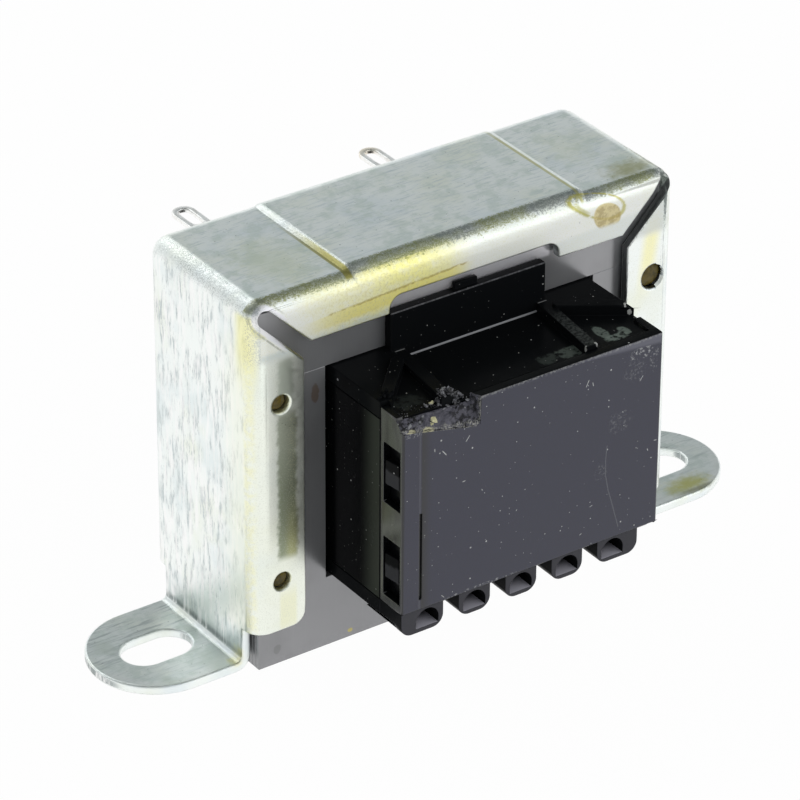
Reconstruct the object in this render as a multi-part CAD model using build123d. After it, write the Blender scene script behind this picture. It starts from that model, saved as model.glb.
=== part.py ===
from build123d import *
import os
from math import atan2, degrees, hypot, sqrt

os.makedirs("parts", exist_ok=True)

# Frame of reference: X runs along the two feet, -Y is the side with the chipped cover, Z is up.
# The origin lies midway between the two fixing slots, on the plane that the feet stand on.

# Core: scrapless E and I laminations, laid alternately; plan sizes follow from the limb width
limb = 7.0
lamination_thickness = 0.48
lamination_pitch = 0.5
lamination_count = 28
core_lift = 0.05

# Clamp frame folded from one steel strip
sheet = 0.9
bend_inside = 0.8
frame_slip = 0.01
side_lip = 5.3
top_slack = 0.2
side_lip_start = 4.15
side_lip_round = 1.3
top_lip = 4.75
lip_relief_height = 1.6
lip_relief_margin = 0.7
lip_relief_offset = 0.6
lip_relief_round = 1.2
left_slit_width = 1.5
left_slit_inset = 1.6
left_slit_drop = 1.4
right_slit_width = 1.35
right_slit_inset = 0.85
right_slit_drop = 0.7
slit_root_round = 0.35
lip_hole_lift = 0.28
lip_hole_spacing = 17.5
left_lip_hole = 1.7
left_lip_hole_inset = 2.95
right_lip_hole = 2.4
right_lip_hole_inset = 2.4
crease_spacing = 25.4
crease_offset = 0.5
crease_round = 1.0
panel_rise = 0.35

# Feet
foot_width = 12.4
foot_bend_inside = 0.6
slot_offset = 4.87
slot_width = 4.2
slot_length = 6.6

# Moulded bobbin
fit_gap = 0.05
limb_gap = 0.15
window_gap = 0.5
tube_wall = 0.9
bottom_flange = 1.4
bottom_flange_setback = 2.0
divider = 0.8
top_flange = 1.6
tab_rise = 3.6
nub_width = 2.3
nub_thickness = 0.5
nub_rise = 0.6
recess_half = 6.9
recess_offset = 0.25
recess_lean = 1.05
recess_depth = 0.85
recess_arm = 1.2
pocket_start = 2.0
left_pocket_end = 15.7
right_pocket_end = 13.6
pocket_depth = 0.7
rib_width = 1.1
rib_length = 5.2
rib_rise = 0.3

# Windings, tape and the space for the lead-out wires
coil_slack = 0.55
tape = 0.25
coil_corner = 2.3
wiring_space = 4.66
lead_diameter = 0.6
lead_hole = 0.9

# Snap-on covers and the side plates that they clip to
cover_wall = 1.0
cover_rim = 0.7
cover_rim_depth = 3.3
cover_top_inset = 0.4
cover_edge_round = 0.2
side_plate = 0.9
tongue_joggle = 0.95
snap_window_height = 5.8
snap_window_length = 2.4
snap_window_spacing = 9.2
snap_window_rear = 0.5
snap_window_drop = 1.15
lug_height = 2.4
lug_clearance = 0.1
lug_taper = 0.25
groove_width = 0.25
groove_depth = 0.3
groove_inset = 1.9
groove_length = 9.5

# Break at the upper left corner of the front cover
chip_length = 7.9
chip_left_drop = 1.1
chip_right_drop = 2.8
chip_shoulder = 0.4
chip_shoulder_rise = 0.3
chip_back_share = 0.25

# Terminal tubes under the lower flange
tube_count = 5
tube_pitch = 4.9
tube_row_offset = -0.95
tube_bore = 2.3
tube_skin = 0.5
tube_floor = 0.4
tube_drop = 0.95
tube_round = 1.1
tube_length = 5.85
tube_setback = 0.15
end_block = 2.7
side_notch_height = 0.7
side_notch_depth = 0.7

# Solder tags
tag_width = 2.2
tag_thickness = 0.4
tag_eye_width = 1.15
tag_eye_length = 3.1
tag_eye_end = 0.6
tag_reach = 4.6
tag_tail = 11.6
upper_tag_inset = 3.5
upper_tag_rise = 0.65
holder_width = 4.2
holder_length = 6.2
holder_skin = 0.6

# Worked out from the sizes above
stack = lamination_pitch * lamination_count
half_stack = stack / 2
lamination_width = 6 * limb
lamination_height = 5 * limb
window_bottom = core_lift + limb
window_top = core_lift + 4 * limb
core_top = core_lift + lamination_height
core_middle = core_lift + lamination_height / 2

bend_outside = bend_inside + sheet
frame_gap = bend_inside * (1 - sqrt(0.5)) + frame_slip
frame_half_width = lamination_width / 2 + frame_gap + sheet
frame_half_depth = half_stack + frame_gap + sheet
frame_top = core_top + frame_gap + top_slack + sheet
lip_edge_x = frame_half_width - side_lip
lip_edge_z = frame_top - top_lip
slot_x = frame_half_width + slot_offset

tube_inner_x = limb + limb_gap
tube_inner_y = half_stack + limb_gap
tube_outer_x = tube_inner_x + tube_wall
tube_outer_y = tube_inner_y + tube_wall
flange_half = 2 * limb - window_gap
bottom_flange_z = window_bottom + 2 * fit_gap
lower_section_z = bottom_flange_z + bottom_flange
flange_top_z = window_top - 2 * fit_gap
upper_section_top = flange_top_z - top_flange
divider_z = (lower_section_z + upper_section_top - divider) / 2
lower_middle = (lower_section_z + divider_z) / 2
upper_middle = (divider_z + divider + upper_section_top) / 2

plate_inner_x = flange_half - side_plate
tape_half_x = plate_inner_x - coil_slack
coil_half_x = tape_half_x - tape
coil_inner_x = tube_outer_x + fit_gap
coil_inner_y = tube_outer_y + fit_gap
coil_half_y = coil_inner_y + coil_half_x - coil_inner_x
tape_half_y = coil_half_y + tape
lead_y = tape_half_y + fit_gap + lead_diameter / 2

cover_back = tape_half_y + wiring_space
cover_front = cover_back + cover_wall
flange_reach = cover_back - fit_gap
bottom_flange_reach = cover_front - bottom_flange_setback
rim_back = cover_front - cover_rim_depth
cover_bottom = lower_section_z + fit_gap
cover_top = flange_top_z - cover_top_inset
rim_inner_x = flange_half - cover_rim
flange_front_half = rim_inner_x - fit_gap

tube_front = cover_front - tube_setback
tube_bottom = bottom_flange_z - tube_drop
tube_width = tube_bore + 2 * tube_skin
bore_floor = tube_bottom + tube_floor
lower_tag_z = bore_floor + fit_gap
upper_tag_x = flange_half - upper_tag_inset
upper_tag_z = flange_top_z + upper_tag_rise
tag_tip = cover_front + tag_reach


def block(x0, x1, y0, y1, z0, z1):
    """Box between two corners."""
    centre = Pos((x0 + x1) / 2, (y0 + y1) / 2, (z0 + z1) / 2)
    return centre * Box(x1 - x0, y1 - y0, z1 - z0)


def along_y(outline, y0, y1):
    """Solid of an outline drawn in X and Z, from y0 to y1."""
    return Pos(0, y1, 0) * extrude(Plane.XZ * outline, amount=y1 - y0, dir=(0, -1, 0))


def upright(outline, z0, z1):
    """Solid of an outline drawn in X and Y, from z0 to z1."""
    return Pos(0, 0, z0) * extrude(outline, amount=z1 - z0, dir=(0, 0, 1))


def patch(x0, x1, v0, v1):
    """Flat rectangle between two corners."""
    return Pos((x0 + x1) / 2, (v0 + v1) / 2) * Rectangle(x1 - x0, v1 - v0)


def both_sides(shape):
    """A shape and its mirror image across the plane X = 0."""
    return shape + mirror(shape, about=Plane.YZ)


def front_and_back(shape):
    """A shape and its mirror image across the plane Y = 0."""
    return shape + mirror(shape, about=Plane.XZ)


def turned(shape):
    """A shape turned half round about Z, from the front to the rear."""
    return Rot(0, 0, 180) * shape


def bar(start, end, width):
    """Flat bar with round ends between two points of a plan."""
    run_x = end[0] - start[0]
    run_y = end[1] - start[1]
    middle = Pos((start[0] + end[0]) / 2, (start[1] + end[1]) / 2)
    turn = Rot(0, 0, degrees(atan2(run_y, run_x)))
    return middle * turn * SlotCenterToCenter(hypot(run_x, run_y), width)


def lamination_layers(outline):
    """One solid per lamination, every second one upside down."""
    layers = []
    for index in range(lamination_count):
        y0 = -half_stack + index * lamination_pitch + (lamination_pitch - lamination_thickness) / 2
        layer = along_y(outline, y0, y0 + lamination_thickness)
        if index % 2:
            layer = mirror(layer, about=Plane.XY.offset(core_middle))
        layers.append(layer)
    return Compound(children=layers)


def e_outline():
    body = patch(-3 * limb, 3 * limb, core_lift, window_top)
    opening = patch(limb, 2 * limb, window_bottom, window_top)
    return body - both_sides(opening)


def i_outline():
    return patch(-3 * limb, 3 * limb, window_top, core_top)


def rounded_hood(inset, radius):
    """Block with round upper edges, as far inside the frame's outer faces as inset says."""
    half_x = frame_half_width - inset
    half_y = frame_half_depth - inset
    hood = block(-half_x, half_x, -half_y, half_y, side_lip_start, frame_top - inset)
    upper = hood.faces().sort_by(Axis.Z)[-1].edges()
    return fillet(hood.edges().filter_by(Axis.Z) + upper, radius)


def lip_opening():
    """Opening that leaves the lips of a face: a window, the relief over the tab and corner slits."""
    window = patch(-lip_edge_x, lip_edge_x, 0, lip_edge_z)
    window = fillet(window.vertices().group_by(Axis.Y)[-1], slit_root_round)
    for side in (-1, 1):
        corner = patch(side * lip_edge_x, side * 2 * lip_edge_x, 0, side_lip_start + side_lip_round)
        rounding = Pos(side * (lip_edge_x + side_lip_round), side_lip_start + side_lip_round)
        window += corner - rounding * (Circle(side_lip_round) + patch(0, side * limb, -limb, limb))
    relief_half = tube_outer_x + lip_relief_margin
    relief = patch(-relief_half, relief_half, lip_edge_z - sheet, lip_edge_z + lip_relief_height)
    relief = Pos(lip_relief_offset, 0) * fillet(relief.vertices().group_by(Axis.Y)[-1], lip_relief_round)
    window += relief
    left = (-1, left_slit_width, left_slit_inset, left_slit_drop)
    right = (1, right_slit_width, right_slit_inset, right_slit_drop)
    for side, width, inset, drop in (left, right):
        outer = (side * (frame_half_width - inset), frame_top - drop)
        inner = (outer[0] - side * side_lip, outer[1] - side_lip)
        window += bar(inner, outer, width)
    return window


def lip_holes():
    holes = []
    left = (-1, left_lip_hole, left_lip_hole_inset)
    right = (1, right_lip_hole, right_lip_hole_inset)
    for side, diameter, inset in (left, right):
        for end in (-1, 1):
            x = side * (frame_half_width - inset)
            z = core_middle + lip_hole_lift + end * lip_hole_spacing / 2
            holes.append(Pos(x, z) * Circle(diameter / 2))
    return holes


def raised_panel(inset, radius):
    """Field of the top that stands higher between two cross creases, which die out on the bends."""
    half_y = frame_half_depth - inset
    top = frame_top - inset + panel_rise
    x0 = crease_offset - crease_spacing / 2
    panel = block(x0, x0 + crease_spacing, -half_y, half_y, core_middle, top)
    panel = fillet(panel.faces().sort_by(Axis.Z)[-1].edges().filter_by(Axis.X), radius + panel_rise)
    ends = panel.faces().sort_by(Axis.X)
    shoulders = (ends[0].edges() + ends[-1].edges()).filter_by(lambda edge: edge.center().Z > top - radius)
    return fillet(shoulders, crease_round)


def foot():
    """Right foot with its bend, up to where the side lips start."""
    inner = frame_half_width - sheet
    outer = frame_half_width
    tip = slot_x + foot_width / 2
    profile = patch(inner, tip, 0, side_lip_start) - patch(outer, tip, sheet, side_lip_start)
    heel = profile.vertices().sort_by_distance(Vector(inner, 0))[0]
    profile = fillet(heel, foot_bend_inside + sheet)
    crook = profile.vertices().sort_by_distance(Vector(outer, sheet))[0]
    profile = fillet(crook, foot_bend_inside)
    strip = along_y(profile, -foot_width / 2, foot_width / 2)
    plan = patch(0, slot_x, -foot_width / 2, foot_width / 2) + Pos(slot_x, 0) * Circle(foot_width / 2)
    slot = Pos(slot_x, 0) * SlotOverall(slot_length, slot_width)
    return strip & upright(plan - slot, 0, side_lip_start)


def clamp_frame():
    outside = rounded_hood(0, bend_outside) + raised_panel(0, bend_outside)
    inside = rounded_hood(sheet, bend_inside) + raised_panel(sheet, bend_inside)
    shell = outside - inside
    flat_half = frame_half_depth - bend_outside
    cut = along_y(lip_opening(), -frame_half_depth - sheet, -flat_half)
    for hole in lip_holes():
        cut += along_y(hole, -frame_half_depth - sheet, -flat_half)
    return shell - front_and_back(cut) + both_sides(foot())


def flange_outline(reach):
    """Plan of a flange, narrower at both ends where the covers' rims close over it."""
    wide = Rectangle(2 * flange_half, 2 * (rim_back - fit_gap))
    long = Rectangle(2 * flange_front_half, 2 * reach)
    return wide + long


def tube_positions():
    first = tube_row_offset - (tube_count - 1) / 2 * tube_pitch
    return [first + index * tube_pitch for index in range(tube_count)]


def terminal_row():
    """Row of open tubes under the lower flange, with a solid block at each end."""
    ceiling = cover_bottom - fit_gap
    y0 = -tube_front
    y1 = y0 + tube_length
    row = None
    places = tube_positions()
    for x in places:
        left = x - (end_block if x == places[0] else tube_width / 2)
        right = x + (end_block if x == places[-1] else tube_width / 2)
        outline = patch(left, right, tube_bottom, ceiling)
        outline = fillet(outline.vertices().group_by(Axis.Y)[0], tube_round)
        tube = along_y(outline, y0, y1)
        row = tube if row is None else row + tube
    notch_x = places[0] - end_block
    notch_z = bottom_flange_z - side_notch_height
    row -= block(notch_x, notch_x + side_notch_depth, y0 + cover_wall, y1, notch_z, bottom_flange_z)
    return row


def terminal_bores():
    """Flat-floored round-topped bores of the terminal tubes."""
    radius = tube_bore / 2
    bores = []
    for x in tube_positions():
        outline = patch(x - radius, x + radius, bore_floor, bore_floor + radius / 2)
        outline += Pos(x, bore_floor + radius / 2) * Circle(radius)
        outline -= patch(x - 2 * radius, x + 2 * radius, bore_floor - 2 * radius, bore_floor)
        bores.append(along_y(outline, -tube_front, -tube_front + tube_length))
    return bores


def tag_holder(x):
    """Box on the rear of the upper flange with the slot that grips an upper tag."""
    slot_bottom = upper_tag_z - fit_gap
    slot_top = upper_tag_z + tag_thickness + fit_gap
    top = slot_top + holder_skin
    y0 = flange_reach - holder_length
    box = block(x - holder_width / 2, x + holder_width / 2, y0, flange_reach, flange_top_z, top)
    box = chamfer(box.edges().group_by(Axis.Z)[-1], holder_skin / 2)
    half = tag_width / 2 + fit_gap
    return box - block(x - half, x + half, y0, flange_reach, slot_bottom, slot_top)


def recess_side(side, y, outset=0):
    """Point on a side of the middle recess, which leans towards -X in front, or outset beside it."""
    lean = recess_lean * (-y - tube_outer_y) / (flange_reach - tube_outer_y)
    return (recess_offset + side * (recess_half + outset) - lean, y)


def pocket_ends():
    """Ends of each corner pocket's slanting edge: by the recess and on the flange's side."""
    start_y = -tube_outer_y - pocket_start
    left = (recess_side(-1, start_y, recess_arm), (-flange_half, -left_pocket_end))
    right = (recess_side(1, start_y, recess_arm), (flange_half, -right_pocket_end))
    return left, right


def flange_relief():
    """What is cut from the front of the upper flange: the middle recess and two open corner pockets."""
    root = -tube_outer_y
    front = -flange_reach
    recess = Polygon(recess_side(-1, root), recess_side(1, root), recess_side(1, front),
                     recess_side(-1, front), align=None)
    relief = upright(recess, flange_top_z - recess_depth, flange_top_z)
    for side, (start, end) in zip((-1, 1), pocket_ends()):
        pocket = Polygon(start, end, (end[0], front), recess_side(side, front, recess_arm), align=None)
        relief += upright(pocket, flange_top_z - pocket_depth, flange_top_z)
    return relief


def flange_ribs():
    """Rib along the slanting edge of each corner pocket."""
    ribs = None
    for side, (start, end) in zip((-1, 1), pocket_ends()):
        edge = Vector(end[0] - start[0], end[1] - start[1]).normalized()
        back = Vector(-side * edge.Y, side * edge.X) * (rib_width / 2)
        near = Vector(*start) + back
        far = near + edge * rib_length
        plan = bar((near.X, near.Y), (far.X, far.Y), rib_width)
        rib = upright(plan, flange_top_z - pocket_depth, flange_top_z + rib_rise)
        ribs = rib if ribs is None else ribs + rib
    return ribs


def tab_plate():
    """Front wall of the tube carried up past the flange, with a small nub on its rear edge."""
    top = window_top + tab_rise
    plate = block(-tube_outer_x, tube_outer_x, -tube_outer_y, -tube_inner_y, upper_section_top, top)
    nub_y = -tube_inner_y - nub_thickness
    nub = block(-nub_width / 2, nub_width / 2, nub_y, -tube_inner_y, top, top + nub_rise)
    return plate + nub


def tag_places():
    """Distance of each tag's middle line from the plane X = 0, by winding and side."""
    row = tube_positions()
    places = {"primary_left": -upper_tag_x, "primary_right": upper_tag_x}
    places.update({"secondary_left": -row[-1], "secondary_right": -row[0]})
    return places


def lead_section(tag_x, diameter):
    """Round section at a tag's inboard edge, where its lead-out wire meets it."""
    inboard = (tag_width - lead_diameter) / 2
    x = tag_x + inboard if tag_x < 0 else tag_x - inboard
    return Pos(x, lead_y) * Circle(diameter / 2)


def bobbin():
    tube = Rectangle(2 * tube_outer_x, 2 * tube_outer_y)
    core_hole = Rectangle(2 * tube_inner_x, 2 * tube_inner_y)
    body = upright(tube, window_bottom + 2 * fit_gap, flange_top_z)
    body += upright(flange_outline(bottom_flange_reach), bottom_flange_z, lower_section_z)
    body += upright(flange_outline(flange_reach), upper_section_top, flange_top_z)
    body += upright(Rectangle(2 * tape_half_x, 2 * tape_half_y), divider_z, divider_z + divider)
    body += terminal_row() + turned(terminal_row())
    body -= flange_relief()
    body += flange_ribs() + front_and_back(tab_plate())
    for side in (-1, 1):
        body += tag_holder(side * upper_tag_x)
    for bore in terminal_bores():
        body -= bore + turned(bore)
    for name, x in tag_places().items():
        hole = lead_section(x, lead_hole)
        if name.startswith("primary"):
            body -= upright(hole, upper_section_top, upper_tag_z)
        else:
            body -= upright(hole, lower_tag_z + tag_thickness, lower_section_z)
    return body - upright(core_hole, window_bottom, window_top)


def snap_window_levels():
    middle = (cover_bottom + cover_top) / 2 - snap_window_drop
    return (middle - snap_window_spacing / 2, middle + snap_window_spacing / 2)


def cover():
    """Front cap: a plate with a rim down each side, and two snap windows in each rim."""
    cap = block(-flange_half, flange_half, -cover_front, -rim_back, cover_bottom, cover_top)
    corners = cap.edges().filter_by(Axis.Z).group_by(Axis.Y)[0]
    cap = fillet(corners, cover_edge_round)
    cap -= block(-rim_inner_x, rim_inner_x, -cover_back, -rim_back, cover_bottom, cover_top)
    y1 = -rim_back - snap_window_rear
    y0 = y1 - snap_window_length
    half = snap_window_height / 2
    for z in snap_window_levels():
        cap -= both_sides(block(rim_inner_x, flange_half, y0, y1, z - half, z + half))
    groove_x = -flange_half + groove_inset
    groove = patch(groove_x - groove_width / 2, groove_x + groove_width / 2,
                   cover_bottom + cover_wall, cover_bottom + groove_length)
    return cap - along_y(groove, -cover_front, -cover_front + groove_depth)


def chip_outline(right, share):
    """Outline of the break up to x = right, with its depth as a share of the depth in front."""
    left = -flange_half
    above = cover_top + cover_wall
    left_low = cover_top - share * chip_left_drop
    right_low = cover_top - share * chip_right_drop
    shoulder_low = right_low + share * chip_shoulder_rise
    return Polygon((left, above), (left, left_low), (right - chip_shoulder, right_low),
                   (right, shoulder_low), (right, above), align=None)


def chip():
    """Wedge broken out of the front cover's upper left corner, wide in front and narrow behind."""
    right = -flange_half + chip_length
    front = Plane.XZ.offset(cover_front) * chip_outline(right, 1)
    back = Plane.XZ.offset(cover_back) * chip_outline(right - chip_shoulder, chip_back_share)
    return loft(Sketch() + [front, back])


def side_plate_solid():
    """Right-hand wall between the flanges, with a tongue and two snap lugs at each end."""
    z0 = lower_section_z + fit_gap
    z1 = upper_section_top - fit_gap
    joggle = rim_back - fit_gap
    tongue_outer = rim_inner_x - fit_gap
    tongue_inner = tongue_outer - side_plate
    end = cover_back - fit_gap
    plate = block(plate_inner_x, flange_half, -joggle, joggle, z0, z1)
    tongue = block(tongue_inner, tongue_outer, -end, -joggle + tongue_joggle, z0, z1)
    lug_y = -rim_back - snap_window_rear - lug_clearance
    lug_tip = flange_half - lug_clearance
    wedge = Polygon((tongue_outer, lug_y), (lug_tip, lug_y), (lug_tip - lug_taper, -end),
                    (tongue_outer, -end), align=None)
    for z in snap_window_levels():
        tongue += upright(wedge, z - lug_height / 2, z + lug_height / 2)
    return plate + front_and_back(tongue)


def winding(z0, z1):
    outer = RectangleRounded(2 * coil_half_x, 2 * coil_half_y, coil_corner)
    inner = Rectangle(2 * coil_inner_x, 2 * coil_inner_y)
    return upright(outer - inner, z0 + fit_gap, z1 - fit_gap)


def winding_tape(z0, z1):
    slip = fit_gap / 2
    outer = RectangleRounded(2 * tape_half_x, 2 * tape_half_y, coil_corner + tape)
    inner = RectangleRounded(2 * (coil_half_x + slip), 2 * (coil_half_y + slip), coil_corner + slip)
    return upright(outer - inner, z0 + fit_gap, z1 - fit_gap)


def tag(x, z):
    """Flat solder tag with a round tip and a long eye, lying along Y."""
    radius = tag_width / 2
    tip_y = tag_tip - radius
    plan = patch(x - radius, x + radius, tag_tail, tip_y) + Pos(x, tip_y) * Circle(radius)
    eye_y = tag_tip - tag_eye_end - tag_eye_length / 2
    eye = Pos(x, eye_y) * Rot(0, 0, 90) * SlotOverall(tag_eye_length, tag_eye_width)
    return upright(plan - eye, z, z + tag_thickness)


def lead(tag_x, z0, z1):
    return upright(lead_section(tag_x, lead_diameter), z0, z1)


nodes = {
    "clamp_frame": clamp_frame(),
    "e_laminations": lamination_layers(e_outline()),
    "i_laminations": lamination_layers(i_outline()),
    "bobbin": bobbin(),
    "front_cover": cover() - chip(),
    "rear_cover": turned(cover()),
    "right_side_plate": side_plate_solid(),
    "left_side_plate": turned(side_plate_solid()),
    "primary_winding": winding(divider_z + divider, upper_section_top),
    "secondary_winding": winding(lower_section_z, divider_z),
    "primary_tape": winding_tape(divider_z + divider, upper_section_top),
    "secondary_tape": winding_tape(lower_section_z, divider_z),
}

for side in ("left", "right"):
    upper_x = tag_places()["primary_" + side]
    lower_x = tag_places()["secondary_" + side]
    lower_top = lower_tag_z + tag_thickness
    nodes["primary_tag_" + side] = tag(upper_x, upper_tag_z)
    nodes["secondary_tag_" + side] = tag(lower_x, lower_tag_z)
    nodes["primary_lead_" + side] = lead(upper_x, upper_middle, upper_tag_z - fit_gap)
    nodes["secondary_lead_" + side] = lead(lower_x, lower_top + fit_gap, lower_middle)

for name, solid in nodes.items():
    export_step(solid, f"parts/{name}.step")
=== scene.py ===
from math import cos, hypot, radians, sin
from random import Random

import bmesh
import bpy
from mathutils import Matrix, Vector, noise
from mathutils.bvhtree import BVHTree


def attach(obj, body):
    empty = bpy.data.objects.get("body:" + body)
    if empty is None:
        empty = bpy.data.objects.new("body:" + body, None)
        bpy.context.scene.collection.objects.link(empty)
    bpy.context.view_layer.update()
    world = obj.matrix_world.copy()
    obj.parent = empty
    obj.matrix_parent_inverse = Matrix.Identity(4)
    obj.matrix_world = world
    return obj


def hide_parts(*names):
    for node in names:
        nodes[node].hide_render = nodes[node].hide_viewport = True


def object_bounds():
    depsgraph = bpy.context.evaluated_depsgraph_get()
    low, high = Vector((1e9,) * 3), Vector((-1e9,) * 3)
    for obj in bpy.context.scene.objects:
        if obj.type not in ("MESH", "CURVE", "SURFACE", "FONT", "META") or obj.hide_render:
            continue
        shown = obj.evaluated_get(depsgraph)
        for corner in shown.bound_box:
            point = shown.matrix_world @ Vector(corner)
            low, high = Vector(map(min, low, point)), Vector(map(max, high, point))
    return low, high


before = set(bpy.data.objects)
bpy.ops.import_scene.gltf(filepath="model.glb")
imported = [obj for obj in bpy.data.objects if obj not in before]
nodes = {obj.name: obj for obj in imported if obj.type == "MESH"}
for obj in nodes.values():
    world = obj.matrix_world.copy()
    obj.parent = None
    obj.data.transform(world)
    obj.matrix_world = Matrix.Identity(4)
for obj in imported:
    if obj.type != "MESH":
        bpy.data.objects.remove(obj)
cad_low, cad_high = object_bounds()
scene = bpy.context.scene
scene.view_settings.view_transform = "Standard"

MM = 0.001
WELD = 0.001 * MM  # corners nearer than this are one
FLAT_ENOUGH = radians(0.5)  # faces that turn less are one flat
SHARP_ENOUGH = radians(50)  # edges that turn more are rounded
DIAGONAL = 0.7071
LOWEST_GROUND = 24  # millimetres; no crumb lies lower
WITH_WIDE_FLATS = ("clamp_frame", "e_laminations", "i_laminations", "bobbin")


# Stage: camera, floor, lamps and the studio round them

def photo_camera():
    """Camera at the photograph's angle, to the left of the front and a third of the way up."""
    turn, rise, roll = radians(34.942), radians(30.518), radians(0.322)
    back = Vector((-sin(turn) * cos(rise), -cos(turn) * cos(rise), sin(rise)))
    level = (-back).cross(Vector((0, 0, 1))).normalized()
    plumb = level.cross(-back)
    right = cos(roll) * level + sin(roll) * plumb
    up = cos(roll) * plumb - sin(roll) * level
    lens = bpy.data.cameras.new("photo_camera")
    focal_length, distance = 214.34, 415.959
    lens.lens = focal_length
    lens.sensor_width = 36.0
    lens.clip_start = 0.01
    lens.clip_end = 50.0
    camera = bpy.data.objects.new("photo_camera", lens)
    scene.collection.objects.link(camera)
    target = Vector((-1.455, 0.0, 17.171))
    spot = target * MM + back * distance * MM
    axes = Matrix((right, up, back)).transposed().to_4x4()
    camera.matrix_world = Matrix.Translation(spot) @ axes
    scene.camera = camera


def white_floor():
    """Pale floor that the camera and the metal see as white, with the shadow left on it."""
    reach, drop = 4.0, 0.02 * MM
    shape = bmesh.new()
    bmesh.ops.create_grid(shape, x_segments=1, y_segments=1, size=reach)
    bmesh.ops.translate(shape, verts=shape.verts, vec=(0, 0, -drop))
    paint = bpy.data.materials.new("floor_white")
    paint.use_nodes = True
    tree = paint.node_tree
    tree.nodes.remove(tree.nodes["Principled BSDF"])
    matt = tree.nodes.new("ShaderNodeBsdfDiffuse")
    matt.inputs["Color"].default_value = (0.93, 0.93, 0.93, 1)
    glow = tree.nodes.new("ShaderNodeEmission")
    glow.inputs["Strength"].default_value = 1.0
    path = tree.nodes.new("ShaderNodeLightPath")
    seen = path.outputs["Is Camera Ray"]
    for other in ("Is Glossy Ray", "Is Transmission Ray"):
        either = tree.nodes.new("ShaderNodeMath")
        either.operation = "MAXIMUM"
        tree.links.new(seen, either.inputs[0])
        tree.links.new(path.outputs[other], either.inputs[1])
        seen = either.outputs[0]
    share = tree.nodes.new("ShaderNodeMath")
    share.operation = "MULTIPLY"
    share.inputs[1].default_value = 0.98
    tree.links.new(seen, share.inputs[0])
    blend = tree.nodes.new("ShaderNodeMixShader")
    tree.links.new(share.outputs[0], blend.inputs[0])
    tree.links.new(matt.outputs[0], blend.inputs[1])
    tree.links.new(glow.outputs[0], blend.inputs[2])
    tree.links.new(blend.outputs[0], tree.nodes["Material Output"].inputs["Surface"])
    mesh = bpy.data.meshes.new("floor")
    shape.to_mesh(mesh)
    shape.free()
    mesh.materials.append(paint)
    floor = bpy.data.objects.new("floor", mesh)
    scene.collection.objects.link(floor)


def studio_room():
    """Room light: white walls near the horizon, darker overhead."""
    world = bpy.data.worlds.new("studio_room")
    scene.world = world
    world.use_nodes = True
    tree = world.node_tree
    place = tree.nodes.new("ShaderNodeTexCoord")
    split = tree.nodes.new("ShaderNodeSeparateXYZ")
    walls = tree.nodes.new("ShaderNodeValToRGB")
    tree.links.new(place.outputs["Generated"], split.inputs[0])
    tree.links.new(split.outputs["Z"], walls.inputs["Fac"])
    tree.links.new(walls.outputs["Color"], tree.nodes["Background"].inputs["Color"])
    stops = walls.color_ramp.elements
    stops[0].position, stops[0].color = 0.0, (1.0, 1.0, 1.0, 1)
    stops[1].position, stops[1].color = 1.0, (0.12, 0.13, 0.13, 1)
    shades = ((0.2, (0.84, 0.86, 0.87)), (0.5, (0.4, 0.43, 0.44)), (0.75, (0.2, 0.22, 0.22)))
    for height, shade in shades:
        stops.new(height).color = (*shade, 1)


def softbox(name, towards, distance, size, power):
    """Square lamp that looks at the middle of the object."""
    lamp = bpy.data.lights.new(name, "AREA")
    lamp.size = size
    lamp.energy = power
    holder = bpy.data.objects.new(name, lamp)
    scene.collection.objects.link(holder)
    aim = Vector(towards).normalized()
    middle_height = 18 * MM
    holder.location = Vector((0, 0, middle_height)) + aim * distance
    holder.rotation_mode = "QUATERNION"
    holder.rotation_quaternion = aim.to_track_quat("Z", "Y")


# Finishes

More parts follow.
